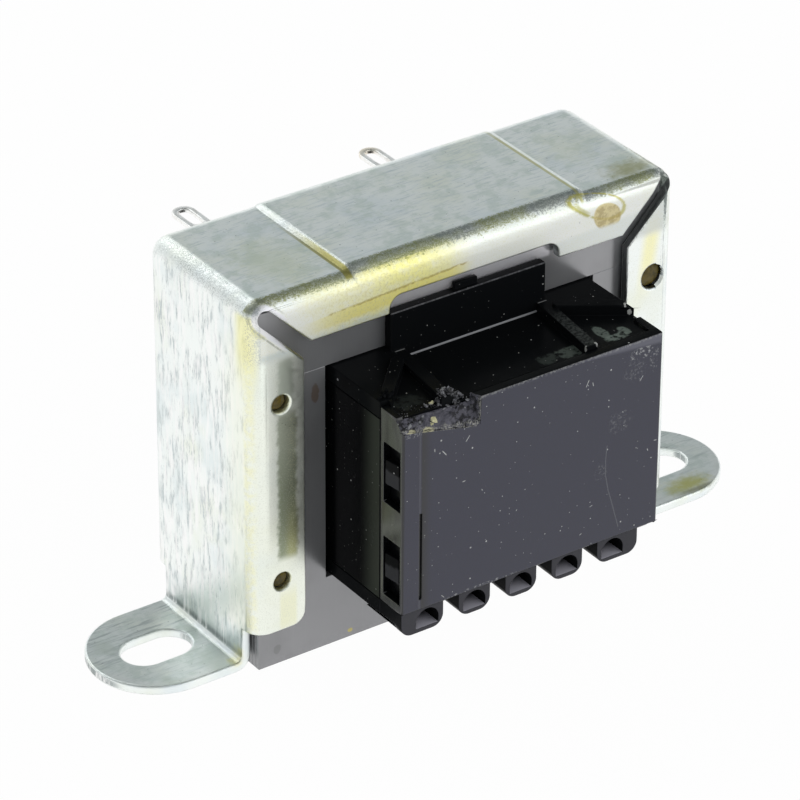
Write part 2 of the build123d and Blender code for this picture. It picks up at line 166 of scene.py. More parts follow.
class Finish:
    """A procedural finish. Its patterns read Object coordinates, in millimetres."""

    def __init__(self, name, colour, roughness, **settings):
        self.material = bpy.data.materials.new(name)
        self.material.use_nodes = True
        self.tree = self.material.node_tree
        self.shader = self.tree.nodes["Principled BSDF"]
        for socket, value in settings.items():
            self.shader.inputs[socket.replace("_", " ")].default_value = value
        self.colour = colour
        self.roughness = roughness
        self.metal = None
        self.relief = None
        place = self.add("ShaderNodeTexCoord").outputs["Object"]
        self.place = self.mapped(place, (1 / MM,) * 3)
        self.x, self.y, self.z = self.add("ShaderNodeSeparateXYZ", Vector=self.place).outputs
        facing = self.add("ShaderNodeNewGeometry").outputs["Normal"]
        self.facing_x, self.facing_y, self.facing_z = self.add("ShaderNodeSeparateXYZ", Vector=facing).outputs

    def add(self, kind, **inputs):
        node = self.tree.nodes.new(kind)
        for socket, value in inputs.items():
            self.feed(node.inputs[socket.replace("_", " ")], value)
        return node

    def feed(self, socket, value):
        if isinstance(value, bpy.types.NodeSocket):
            self.tree.links.new(value, socket)
        elif socket.type == "RGBA":
            socket.default_value = (*value[:3], 1)
        else:
            socket.default_value = value

    def mapped(self, vector, scale, shift=(0, 0, 0)):
        return self.add("ShaderNodeMapping", Vector=vector, Scale=scale, Location=shift).outputs[0]

    def math(self, operation, first, second=0.0, clamp=False):
        node = self.tree.nodes.new("ShaderNodeMath")
        node.operation = operation
        node.use_clamp = clamp
        self.feed(node.inputs[0], first)
        self.feed(node.inputs[1], second)
        return node.outputs[0]

    def times(self, first, *others):
        for other in others:
            first = self.math("MULTIPLY", first, other)
        return first

    def plus(self, first, second):
        return self.math("ADD", first, second)

    def either(self, first, *others):
        for other in others:
            first = self.math("MAXIMUM", first, other)
        return first

    def size_of(self, value):
        return self.math("ABSOLUTE", value)

    def step(self, value, low, high):
        """Soft step from 0 at low to 1 at high; low may be the larger."""
        node = self.add("ShaderNodeMapRange", Value=value)
        node.interpolation_type = "SMOOTHSTEP"
        self.feed(node.inputs["From Min"], low)
        self.feed(node.inputs["From Max"], high)
        return node.outputs[0]

    def between(self, value, low, high, soft):
        rise = self.step(value, low - soft, low + soft)
        return self.times(rise, self.step(value, high + soft, high - soft))

    def grain(self, size, detail=2.0, roughness=0.55, shift=(0, 0, 0)):
        """Noise whose grains are size millimetres across, or as long on each axis as size says."""
        sizes = size if isinstance(size, tuple) else (size,) * 3
        place = self.mapped(self.place, tuple(1 / length for length in sizes), shift)
        node = self.add("ShaderNodeTexNoise", Vector=place, Scale=1.0, Detail=detail, Roughness=roughness)
        return node.outputs[0]

    def specks(self, pitch, share, radius, shift=(0, 0, 0), field=None):
        """Scattered dots: one at most in each cell of the pitch, in a share of the cells.

        A field of two coordinates keeps them on a flat face."""
        place = self.add("ShaderNodeCombineXYZ", X=field[0], Y=field[1]).outputs[0] if field else self.place
        place = self.mapped(place, (1 / pitch,) * 3, shift)
        cell = self.add("ShaderNodeTexVoronoi", Vector=place, Scale=1.0)
        cell.voronoi_dimensions = "2D" if field else "3D"
        lot = self.add("ShaderNodeSeparateColor", Color=cell.outputs["Color"]).outputs[0]
        reach = self.add("ShaderNodeMapRange", Value=lot, From_Min=1 - share, To_Max=radius / pitch)
        inside = self.math("SUBTRACT", reach.outputs[0], cell.outputs["Distance"])
        return self.math("MULTIPLY", inside, 3 * pitch / radius, clamp=True)

    def spot(self, centre, radii, ragged=0.3, grain_size=0.6, soft=0.3):
        """Patch round a centre, with a ragged edge."""
        scale = tuple(1 / radius for radius in radii)
        shift = tuple(-middle / radius for middle, radius in zip(centre, radii))
        place = self.mapped(self.place, scale, shift)
        far = self.add("ShaderNodeVectorMath", Vector=place)
        far.operation = "LENGTH"
        edge = self.math("MULTIPLY_ADD", self.grain(grain_size, 3.0), ragged)
        edge.node.inputs[2].default_value = -ragged / 2
        return self.step(self.plus(far.outputs["Value"], edge), 1.0, 1.0 - soft)

    def stroke(self, across, along, start, end, width):
        """Straight mark between two points of a flat face, in its two coordinates."""
        run_a, run_b = end[0] - start[0], end[1] - start[1]
        length = hypot(run_a, run_b)
        from_a = self.math("SUBTRACT", across, start[0])
        from_b = self.math("SUBTRACT", along, start[1])
        forward = self.plus(self.times(from_a, run_a / length), self.times(from_b, run_b / length))
        aside = self.math("SUBTRACT", self.times(from_a, run_b / length), self.times(from_b, run_a / length))
        line = self.step(self.size_of(aside), width, width * 0.3)
        return self.times(line, self.between(forward, 0, length, width))

    def mix(self, share, first, second, kind="RGBA"):
        node = self.tree.nodes.new("ShaderNodeMix")
        node.data_type = kind
        start = 6 if kind == "RGBA" else 2
        self.feed(node.inputs[0], share)
        self.feed(node.inputs[start], first)
        self.feed(node.inputs[start + 1], second)
        return node.outputs[2 if kind == "RGBA" else 0]

    def stain(self, share, colour):
        self.colour = self.mix(share, self.colour, colour)

    def dull(self, share, roughness):
        self.roughness = self.mix(share, self.roughness, roughness, "FLOAT")

    def emboss(self, height, depth):
        """Relief of a pattern, depth millimetres from its lowest to its highest."""
        bump = self.add("ShaderNodeBump", Height=height, Strength=1.0, Distance=depth * MM)
        if self.relief:
            self.feed(bump.inputs["Normal"], self.relief)
        self.relief = bump.outputs[0]

    def done(self):
        self.feed(self.shader.inputs["Base Color"], self.colour)
        self.feed(self.shader.inputs["Roughness"], self.roughness)
        if self.metal:
            self.feed(self.shader.inputs["Metallic"], self.metal)
        if self.relief:
            self.feed(self.shader.inputs["Normal"], self.relief)
        return self.material


def zinc_plate():
    """Zinc plate: scratched walls, brushed top and feet, yellow passivation along the bends."""
    zinc = Finish("zinc_plate", (0.94, 0.98, 0.955), 0.27, Metallic=1.0)
    fine = zinc.grain(0.12, 2.0, 0.6)
    coarse = zinc.grain(0.6, 3.0, 0.6)
    cloud = zinc.grain(5.0, 3.0)
    other_cloud = zinc.grain(6.0, 3.0, shift=(7, 3, 5))
    zinc_clouds(zinc, cloud, other_cloud)
    zinc_walls(zinc, cloud)
    zinc_top_and_feet(zinc, cloud)
    zinc_front_bends(zinc, fine, coarse, cloud)
    zinc_top_bends(zinc, fine, coarse, cloud)
    zinc_cut_edges(zinc)
    zinc_marks(zinc, coarse)
    facings = (zinc.facing_x, zinc.facing_y, zinc.facing_z)
    flat = zinc.either(*[zinc.size_of(facing) for facing in facings])
    bent = zinc.step(flat, 0.995, 0.94)
    zinc.dull(zinc.times(zinc.step(coarse, 0.2, 0.8), 0.7), 0.4)
    zinc.emboss(zinc.times(coarse, bent), 0.008)
    zinc.emboss(zinc.times(fine, bent), 0.05)
    return zinc.done()


def zinc_clouds(zinc, cloud, other_cloud):
    """Broad pale blue and pale green tints of the passivation."""
    zinc.stain(zinc.times(zinc.step(cloud, 0.45, 0.7), 0.6), (0.78, 0.86, 0.9))
    zinc.stain(zinc.times(zinc.step(other_cloud, 0.48, 0.7), 0.6), (0.86, 0.9, 0.77))


def zinc_walls(zinc, cloud):
    """Drawing scratches down the side walls in clusters, paler runs between them, painted shade at their
    foot.
    """
    wall = zinc.step(zinc.size_of(zinc.facing_x), 0.85, 0.98)
    cluster = zinc.step(zinc.grain((2.5, 1.6, 3.5), 3.0, 0.6, (2, 6, 1)), 0.38, 0.54)
    marks = zinc.step(zinc.grain((0.6, 0.5, 2.6), 5.0, 0.7), 0.49, 0.63)
    zinc.stain(zinc.times(marks, wall, cluster, 0.85), (0.52, 0.59, 0.6))
    hairs = zinc.step(zinc.grain((0.6, 0.14, 1.0), 4.0, 0.7, (3, 0, 0)), 0.58, 0.68)
    zinc.stain(zinc.times(hairs, wall, cluster, 0.7), (0.3, 0.34, 0.34))
    # Painted shade: the walls darken towards their foot, darkest just above the foot bend.
    zinc.stain(zinc.times(wall, zinc.step(zinc.z, 5.0, 1.6), 0.6), (0.5, 0.56, 0.55))
    zinc.stain(zinc.times(wall, zinc.step(zinc.z, 2.1, 1.5), 0.7), (0.22, 0.25, 0.25))
    pale = zinc.step(zinc.grain((0.6, 0.5, 3.6), 3.0, 0.6, (1, 4, 2)), 0.48, 0.62)
    zinc.stain(zinc.times(pale, wall, 0.75), (1.0, 1.0, 0.99))
    zinc.stain(zinc.times(wall, zinc.step(cloud, 0.52, 0.68), 0.4), (0.8, 0.87, 0.84))
    zinc.emboss(zinc.times(marks, wall, cluster), -0.02)


def zinc_top_and_feet(zinc, cloud):
    """Brushing lines along X, blotches and pits on the top, darker rubbed streaks and a painted rim highlight
    on the feet.
    """
    level = zinc.step(zinc.facing_z, 0.9, 0.985)
    low = zinc.step(zinc.z, 3.0, 1.5)
    plan = (zinc.x, zinc.y)
    brushed = zinc.grain((1.7, 0.22, 3.0), 5.0, 0.7)
    soft = zinc.mix(low, 0.75, 0.4, "FLOAT")
    zinc.stain(zinc.times(zinc.step(brushed, 0.48, 0.7), level, soft), (0.58, 0.66, 0.68))
    blotch = zinc.grain(1.5, 5.0, 0.65, (6, 1, 2))
    zinc.stain(zinc.times(zinc.step(blotch, 0.46, 0.64), level, 0.6), (0.66, 0.75, 0.69))
    hairs = zinc.step(zinc.grain((1.5, 0.07, 3.0), 2.0, 0.5, (0, 8, 0)), 0.64, 0.72)
    zinc.stain(zinc.times(hairs, level, 0.6), (1.0, 1.0, 1.0))
    pits = zinc.specks(1.0, 0.3, 0.1, field=plan)
    zinc.stain(zinc.times(pits, level, 0.6), (0.36, 0.4, 0.38))
    flecks = zinc.specks(1.3, 0.3, 0.09, (4, 2, 1), plan)
    zinc.stain(zinc.times(flecks, level, 0.7), (1.0, 1.0, 0.96))
    rubbed = zinc.step(zinc.grain((3.0, 0.3, 4.0), 4.0, 0.6, (2, 5, 0)), 0.5, 0.66)
    behind = zinc.mix(zinc.step(zinc.y, -3.0, 3.0), 0.25, 0.7, "FLOAT")
    zinc.stain(zinc.times(rubbed, level, low, behind), (0.4, 0.45, 0.45))
    slot_x = 27.0
    from_slot = zinc.math("SUBTRACT", zinc.size_of(zinc.x), slot_x)
    rounded = zinc.math("MAXIMUM", from_slot, -4.0)
    foot_edge = zinc.math("SQRT", zinc.plus(zinc.times(rounded, rounded), zinc.times(zinc.y, zinc.y)))
    # Painted highlight along the front rim of the feet.
    foot_rim_highlight = zinc.times(level, low, zinc.step(foot_edge, 5.0, 5.8), zinc.step(zinc.y, 0.0, -2.0))
    zinc.stain(zinc.times(foot_rim_highlight, 0.5), (1.0, 1.0, 0.98))
    zinc.stain(zinc.times(zinc.step(cloud, 0.5, 0.65), level, low, 0.5), (0.62, 0.68, 0.58))
    zinc.stain(zinc.times(level, low, 0.25), (0.5, 0.56, 0.54))
    zinc.emboss(zinc.times(brushed, level), 0.009)


def zinc_front_bends(zinc, fine, coarse, cloud):
    """Grain, yellow run and olive stripe on the upright front bends and the side lips."""
    toward = zinc.math("MULTIPLY", zinc.facing_y, -1.0)
    below = zinc.step(zinc.z, 33.5, 31.5)
    upright = zinc.times(below, zinc.step(zinc.z, 3.0, 5.0))
    bend = zinc.times(upright, zinc.step(toward, 0.06, 0.3))
    left = zinc.step(zinc.x, -16, -17)
    near_front = zinc.times(left, upright, zinc.step(zinc.y, -2.5, -6.4))
    zinc.stain(zinc.times(near_front, 0.5), (0.92, 0.95, 0.78))
    yellow = zinc.times(left, bend, zinc.step(toward, 0.86, 0.6))
    zinc.stain(zinc.times(yellow, zinc.step(coarse, 0.3, 0.65), 0.75), (0.95, 0.95, 0.66))
    top_end = zinc.times(left, zinc.step(zinc.z, 27, 33), zinc.step(zinc.y, -5.2, -6.6),
                         zinc.step(toward, 0.97, 0.7), zinc.step(zinc.facing_z, 0.5, 0.2))
    zinc.stain(zinc.times(top_end, 0.75), (0.93, 0.9, 0.42))
    lip = zinc.times(upright, zinc.step(toward, 0.9, 0.99))
    ragged_x = zinc.plus(zinc.x, zinc.times(zinc.math("SUBTRACT", coarse, 0.5), 0.7))
    stripe = zinc.times(left, lip, zinc.between(ragged_x, -19.6, -17.7, 0.25),
                        zinc.between(zinc.z, 11.4, 25.6, 0.5))
    deep = zinc.mix(zinc.step(zinc.z, 25.0, 16.0), 0.72, 0.97, "FLOAT")
    zinc.stain(zinc.times(stripe, deep), (0.31, 0.35, 0.24))
    mottled = zinc.times(zinc.step(fine, 0.5, 0.62), zinc.step(zinc.x, -19.0, -18.0))
    zinc.stain(zinc.times(stripe, mottled, 0.6), (0.7, 0.7, 0.42))
    yellow_foot = zinc.times(zinc.step(zinc.z, 18.0, 12.5), zinc.step(zinc.x, -19.2, -18.2))
    zinc.stain(zinc.times(stripe, yellow_foot, 0.6), (0.6, 0.6, 0.28))
    over_hole = zinc.times(left, lip, zinc.between(ragged_x, -19.5, -18.0, 0.3),
                           zinc.between(zinc.z, 27.0, 31.0, 0.8))
    zinc.stain(zinc.times(over_hole, 0.7), (0.5, 0.56, 0.46))
    foot_of_lip = zinc.times(left, lip, zinc.between(zinc.x, -19.5, -17.8, 0.2),
                             zinc.step(zinc.z, 9.0, 7.0))
    zinc.stain(zinc.times(foot_of_lip, 0.6), (0.88, 0.88, 0.58))
    right = zinc.step(zinc.x, 16, 17)
    run = zinc.plus(zinc.times(zinc.math("SUBTRACT", zinc.z, 24.5), 0.13), 18.6)
    beside = zinc.size_of(zinc.math("SUBTRACT", zinc.x, run))
    soft_run = zinc.times(zinc.step(beside, 1.3, 0.2), zinc.step(zinc.z, 23.5, 28.5))
    zinc.stain(zinc.times(right, lip, soft_run, 0.75), (0.96, 0.92, 0.46))
    zinc.stain(zinc.times(right, lip, zinc.step(cloud, 0.45, 0.6), 0.3), (0.95, 0.95, 0.76))
    sandy = zinc.step(fine, 0.5, 0.7)
    zinc.stain(zinc.times(bend, sandy, 0.4), (0.66, 0.68, 0.6))


def zinc_top_bends(zinc, fine, coarse, cloud):
    """Yellow run with a gold line below it, and a painted dark band, speckled, where the top turns down."""
    toward = zinc.math("MULTIPLY", zinc.facing_y, -1.0)
    high = zinc.times(zinc.step(zinc.z, 30.5, 31.5), zinc.step(zinc.y, 4.0, 3.0))
    sandy = zinc.grain(0.24, 3.0, 0.65, (3, 1, 2))
    grainy = zinc.plus(toward, zinc.times(zinc.math("SUBTRACT", sandy, 0.5), 0.8))
    across = zinc.plus(zinc.x, zinc.times(zinc.math("SUBTRACT", cloud, 0.5), 5.0))
    bend = zinc.times(high, zinc.step(toward, 0.45, 0.7))
    chalky = zinc.times(high, zinc.step(zinc.y, -5.0, -6.0), zinc.step(toward, 0.84, 0.98))
    zinc.metal = zinc.mix(chalky, 1.0, 0.25, "FLOAT")
    zinc.stain(zinc.times(chalky, 0.7), (1.0, 1.0, 0.96))
    yellow_run = zinc.times(zinc.step(across, -19.5, -13.0), zinc.step(across, 1.5, -5.5))
    zinc.stain(zinc.times(bend, zinc.step(cloud, 0.4, 0.6), 0.3), (0.97, 0.97, 0.8))
    thick = zinc.mix(zinc.step(across, -15.0, -5.0), 0.5, 1.0, "FLOAT")
    patchy = zinc.mix(zinc.step(coarse, 0.3, 0.6), 0.6, 1.0, "FLOAT")
    zinc.stain(zinc.times(bend, yellow_run, patchy, thick), (1.0, 0.95, 0.36))
    drop = zinc.plus(zinc.plus(zinc.z, zinc.times(coarse, 0.35)), zinc.times(zinc.x, -0.05))
    gold_reach = zinc.times(zinc.step(zinc.x, -18.0, -11.5), zinc.step(zinc.x, 0.8, -2.2))
    under = zinc.times(high, gold_reach, zinc.step(drop, 34.55, 34.4))
    zinc.stain(zinc.times(under, zinc.step(drop, 33.1, 33.5), 0.8), (0.95, 0.85, 0.24))
    gold_line = zinc.times(high, zinc.between(zinc.x, -14.4, -0.4, 0.3),
                           zinc.between(drop, 34.4, 34.58, 0.07))
    zinc.stain(zinc.times(gold_line, zinc.step(coarse, 0.3, 0.55), 0.8), (0.5, 0.38, 0.07))
    lower_edge = zinc.times(high, zinc.step(toward, 0.9, 0.98), zinc.step(drop, 33.2, 32.6))
    leftward = zinc.mix(zinc.step(zinc.x, -6.0, -9.0), 0.3, 0.65, "FLOAT")
    zinc.stain(zinc.times(lower_edge, leftward), (0.62, 0.7, 0.69))
    zinc.stain(zinc.times(bend, zinc.step(fine, 0.5, 0.66), 0.3), (0.78, 0.76, 0.5))
    zinc.stain(zinc.times(bend, yellow_run, zinc.step(sandy, 0.48, 0.64), 0.45), (0.74, 0.68, 0.3))
    # Painted shade: a dark speckled band across the front top bend as it turns down, olive towards the left.
    turn = zinc.times(high, zinc.step(zinc.facing_z, 0.4, 0.6), zinc.step(grainy, 0.02, 0.14),
                      zinc.step(grainy, 0.74, 0.58), zinc.step(toward, 0.01, 0.08))
    speckled = zinc.step(zinc.plus(fine, zinc.times(coarse, 0.5)), 0.6, 0.85)
    far_left = zinc.step(zinc.x, -10.0, -14.0)
    yellowed = zinc.either(zinc.step(cloud, 0.42, 0.58), far_left)
    olive = zinc.mix(yellowed, (0.3, 0.33, 0.32), (0.36, 0.38, 0.13))
    zinc.stain(zinc.times(turn, zinc.mix(speckled, 0.45, 1.0, "FLOAT"), 0.85), olive)
    zinc.stain(zinc.times(zinc.spot((-20.9, -7.6, 34.4), (0.9, 1.2, 1.4), 0.6), 0.5), (0.62, 0.6, 0.22))
    slit_x, slit_z = -20.54, 34.99
    from_x, from_z = zinc.plus(zinc.x, -slit_x), zinc.math("SUBTRACT", zinc.z, slit_z)
    along = zinc.math("MINIMUM", zinc.times(zinc.math("SUBTRACT", from_x, from_z), DIAGONAL), 0.0)
    aside = zinc.times(zinc.plus(from_x, from_z), DIAGONAL)
    from_slit = zinc.math("SQRT", zinc.plus(zinc.times(along, along), zinc.times(aside, aside)))
    # Painted highlight: a pale band on the sheet's edge round the slit.
    rim = zinc.times(zinc.step(from_slit, 1.25, 1.05), zinc.step(zinc.y, -5.8, -6.4),
                     zinc.step(zinc.x, -18.2, -19.2))
    zinc.stain(zinc.times(rim, zinc.step(zinc.z, 28, 30), 0.85), (0.93, 0.92, 0.97))
    outline = zinc.times(zinc.between(from_slit, 1.24, 1.4, 0.05), zinc.step(zinc.y, -6.4, -6.8),
                         zinc.step(zinc.x, -18.6, -19.4), zinc.step(zinc.z, 29, 31))
    zinc.stain(zinc.times(outline, zinc.step(coarse, 0.35, 0.55), 0.65), (0.3, 0.31, 0.24))
    left_turn = zinc.math("MULTIPLY", zinc.facing_x, -1.0)
    streak_edge = zinc.times(high, zinc.between(left_turn, 0.72, 0.95, 0.08), zinc.step(fine, 0.45, 0.65))
    zinc.stain(zinc.times(streak_edge, 0.5), (0.36, 0.38, 0.36))
    bent = zinc.times(high, zinc.step(left_turn, 0.1, 0.3), zinc.step(left_turn, 0.8, 0.6))
    gritty = zinc.step(zinc.plus(fine, zinc.times(coarse, 0.4)), 0.62, 0.8)
    zinc.stain(zinc.times(bent, gritty, 0.6), (0.55, 0.6, 0.58))


def zinc_cut_edges(zinc):
    """Cut edges of the sheet along the right lip and its slit, darkened with painted shade."""
    edge = zinc.times(zinc.step(zinc.y, -7.0, -7.2), zinc.step(zinc.size_of(zinc.facing_y), 0.5, 0.3))
    right = zinc.times(zinc.step(zinc.facing_x, 0.3, 0.1), zinc.step(zinc.x, 15.0, 16.0),
                       zinc.step(zinc.z, 6.0, 8.0))
    # Painted shade on the cut edges.
    zinc.stain(zinc.times(edge, right, zinc.step(zinc.z, 35.9, 35.5), 0.85), (0.06, 0.06, 0.065))


def zinc_marks(zinc, coarse):
    """Olive lines along the creases, stains on the top and feet, and the varnish ring."""
    on_top = zinc.step(zinc.z, 35.9, 36.1)
    left_crease = zinc.times(on_top, zinc.between(zinc.x, -12.2, -11.95, 0.06), zinc.step(zinc.y, 5.0, -3.0))
    zinc.stain(zinc.times(left_crease, 0.85), (0.42, 0.39, 0.1))
    left_flank = zinc.times(on_top, zinc.between(zinc.x, -12.0, -11.55, 0.1), zinc.step(zinc.y, 3.0, -4.5))
    zinc.stain(zinc.times(left_flank, 0.9), (0.44, 0.4, 0.1))
    green = zinc.spot((-16.0, -2.0, 36.4), (4.6, 6.0, 1.0), 0.9, soft=0.9)
    zinc.stain(zinc.times(green, 0.5), (0.74, 0.79, 0.58))
    right_crease = zinc.times(on_top, zinc.between(zinc.x, 12.0, 12.3, 0.06), zinc.step(zinc.y, 8.0, 4.0))
    zinc.stain(zinc.times(right_crease, 0.7), (0.6, 0.57, 0.2))
    stains = (((18.6, -5.6, 36.4), (3.4, 2.2, 1.0), 0.9, 0.9, 0.75, (0.36, 0.36, 0.12)),
              ((16.5, 0.5, 36.4), (3.2, 4.4, 1.0), 0.9, 0.9, 0.35, (0.84, 0.87, 0.66)),
              ((-22.7, -5.9, 1.6), (1.0, 1.9, 1.3), 0.8, 0.9, 0.8, (0.84, 0.76, 0.26)),
              ((27.4, -4.6, 0.9), (3.6, 1.9, 0.6), 0.8, 0.9, 0.85, (0.55, 0.54, 0.14)),
              ((28.0, -5.7, 0.9), (3.4, 0.5, 0.4), 0.4, 0.8, 0.6, (0.2, 0.2, 0.1)))
    for centre, radii, ragged, soft, share, colour in stains:
        zinc.stain(zinc.times(zinc.spot(centre, radii, ragged, soft=soft), share), colour)
    varnish_ring(zinc, coarse)


def varnish_ring(zinc, coarse):
    """Oval ring of varnish at the right end of the front bend, with a dried drop in it."""
    def oval(across, along, half_width, half_height):
        wide = zinc.math("POWER", zinc.size_of(zinc.times(across, 1 / half_width)), 2.0)
        high = zinc.math("POWER", zinc.size_of(zinc.times(along, 1 / half_height)), 2.0)
        return zinc.math("SQRT", zinc.plus(wide, high))

    aside = zinc.math("SUBTRACT", zinc.x, 13.57)
    down = zinc.times(zinc.plus(zinc.y, zinc.z), -DIAGONAL)
    tilted = zinc.math("SUBTRACT", zinc.plus(down, 19.51), zinc.times(aside, 0.295))
    far = oval(aside, tilted, 2.8, 1.1)
    corner = zinc.times(zinc.step(zinc.z, 33, 33.5), zinc.step(zinc.y, -5.8, -6.2), zinc.step(zinc.x, 9, 10))
    ring = zinc.times(corner, zinc.between(far, 0.9, 1.04, 0.05), zinc.step(coarse, 0.3, 0.45))
    zinc.stain(zinc.times(ring, 0.85), (0.58, 0.54, 0.16))
    heavy = zinc.times(corner, zinc.between(far, 0.7, 1.1, 0.08), zinc.step(zinc.x, 13.2, 12.0),
                       zinc.step(coarse, 0.42, 0.55))
    zinc.stain(zinc.times(heavy, 0.7), (0.5, 0.48, 0.14))
    drop_aside = zinc.math("SUBTRACT", zinc.x, 14.5)
    drop_down = zinc.math("SUBTRACT", zinc.plus(down, 18.42), zinc.times(drop_aside, 0.15))
    drop = zinc.times(corner, zinc.step(oval(drop_aside, drop_down, 1.5, 0.98), 1.05, 0.9))
    amber = zinc.mix(zinc.step(coarse, 0.4, 0.6), (0.5, 0.38, 0.12), (0.74, 0.62, 0.28))
    zinc.stain(zinc.times(drop, 0.85), amber)
    zinc.dull(drop, 0.5)


def core_steel():
    """Oxide grey lamination steel under thin varnish."""
    steel = Finish("core_steel", (0.35, 0.35, 0.36), 0.25, Metallic=0.55)
    cloud = steel.grain(5.0, 3.0)
    steel.stain(steel.times(steel.step(cloud, 0.4, 0.7), 0.4), (0.26, 0.26, 0.265))
    rolled = steel.grain((0.2, 2.0, 6.0), 3.0)
    steel.stain(steel.times(steel.step(rolled, 0.55, 0.75), 0.25), (0.4, 0.4, 0.4))
    steel.stain(steel.times(steel.spot((-15.05, -7, 25.75), (0.45, 1, 1.0), 0.6), 0.5), (0.2, 0.09, 0.03))
    steel.stain(steel.times(steel.spot((-11.5, -7, 0.7), (0.3, 1, 0.22)), 0.9), (0.6, 0.52, 0.18))
    steel.stain(steel.times(steel.spot((-19.1, -7, 1.55), (0.5, 1, 0.5), 0.8), 0.5), (0.2, 0.2, 0.2))
    steel.stain(steel.times(steel.specks(1.4, 0.15, 0.1), 0.5), (0.6, 0.6, 0.6))
    # Painted light: the core's front strip between the tab and the lip made pale.
    painted_light_over_tab = steel.times(steel.between(steel.z, 31.5, 33.5, 0.2), steel.between(steel.x, -8.8, 9.2, 0.2))
    steel.stain(steel.times(painted_light_over_tab, steel.step(steel.y, -6.8, -6.95), 0.9), (0.9, 0.88, 0.92))
    steel.emboss(steel.grain(0.3, 3.0), 0.003)
    return steel.done()


def black_moulding(name, colour, roughness, **settings):
    """Black moulded plastic with a faint skin and settled dust."""
    plastic = Finish(name, colour, roughness, **settings)
    cloud = plastic.grain(4.0, 4.0)
    plastic.dull(plastic.times(plastic.step(cloud, 0.35, 0.7), 0.6), roughness + 0.08)
    thick = plastic.step(cloud, 0.42, 0.6)
    fields = ((plastic.x, plastic.z, plastic.facing_y), (plastic.y, plastic.z, plastic.facing_x),
              (plastic.x, plastic.y, plastic.facing_z))
    for across, along, facing in fields:
        flat = plastic.step(plastic.size_of(facing), 0.9, 0.97)
        dust = plastic.specks(0.7, 0.25, 0.07, field=(across, along))
        plastic.stain(plastic.times(dust, flat, thick, 0.5), (0.3, 0.3, 0.3))
        motes = plastic.specks(2.0, 0.5, 0.09, (5, 1, 3), (across, along))
        plastic.stain(plastic.times(motes, flat, 0.8), (0.6, 0.6, 0.58))
    plastic.emboss(plastic.grain(0.5, 3.0), 0.002)
    return plastic


def fibres(plastic, across, along, corner, extent, count, seed):
    """Short dust fibres on a flat face, within a field of its two coordinates."""
    chance = Random(seed)
    marks = None
    for _ in range(count):
        start = (corner[0] + chance.random() * extent[0], corner[1] + chance.random() * extent[1])
        end = (start[0] + chance.uniform(-0.4, 0.4), start[1] + chance.uniform(-0.6, 0.6))
        mark = plastic.stroke(across, along, start, end, chance.uniform(0.04, 0.07))
        marks = mark if marks is None else plastic.either(marks, mark)
    return marks


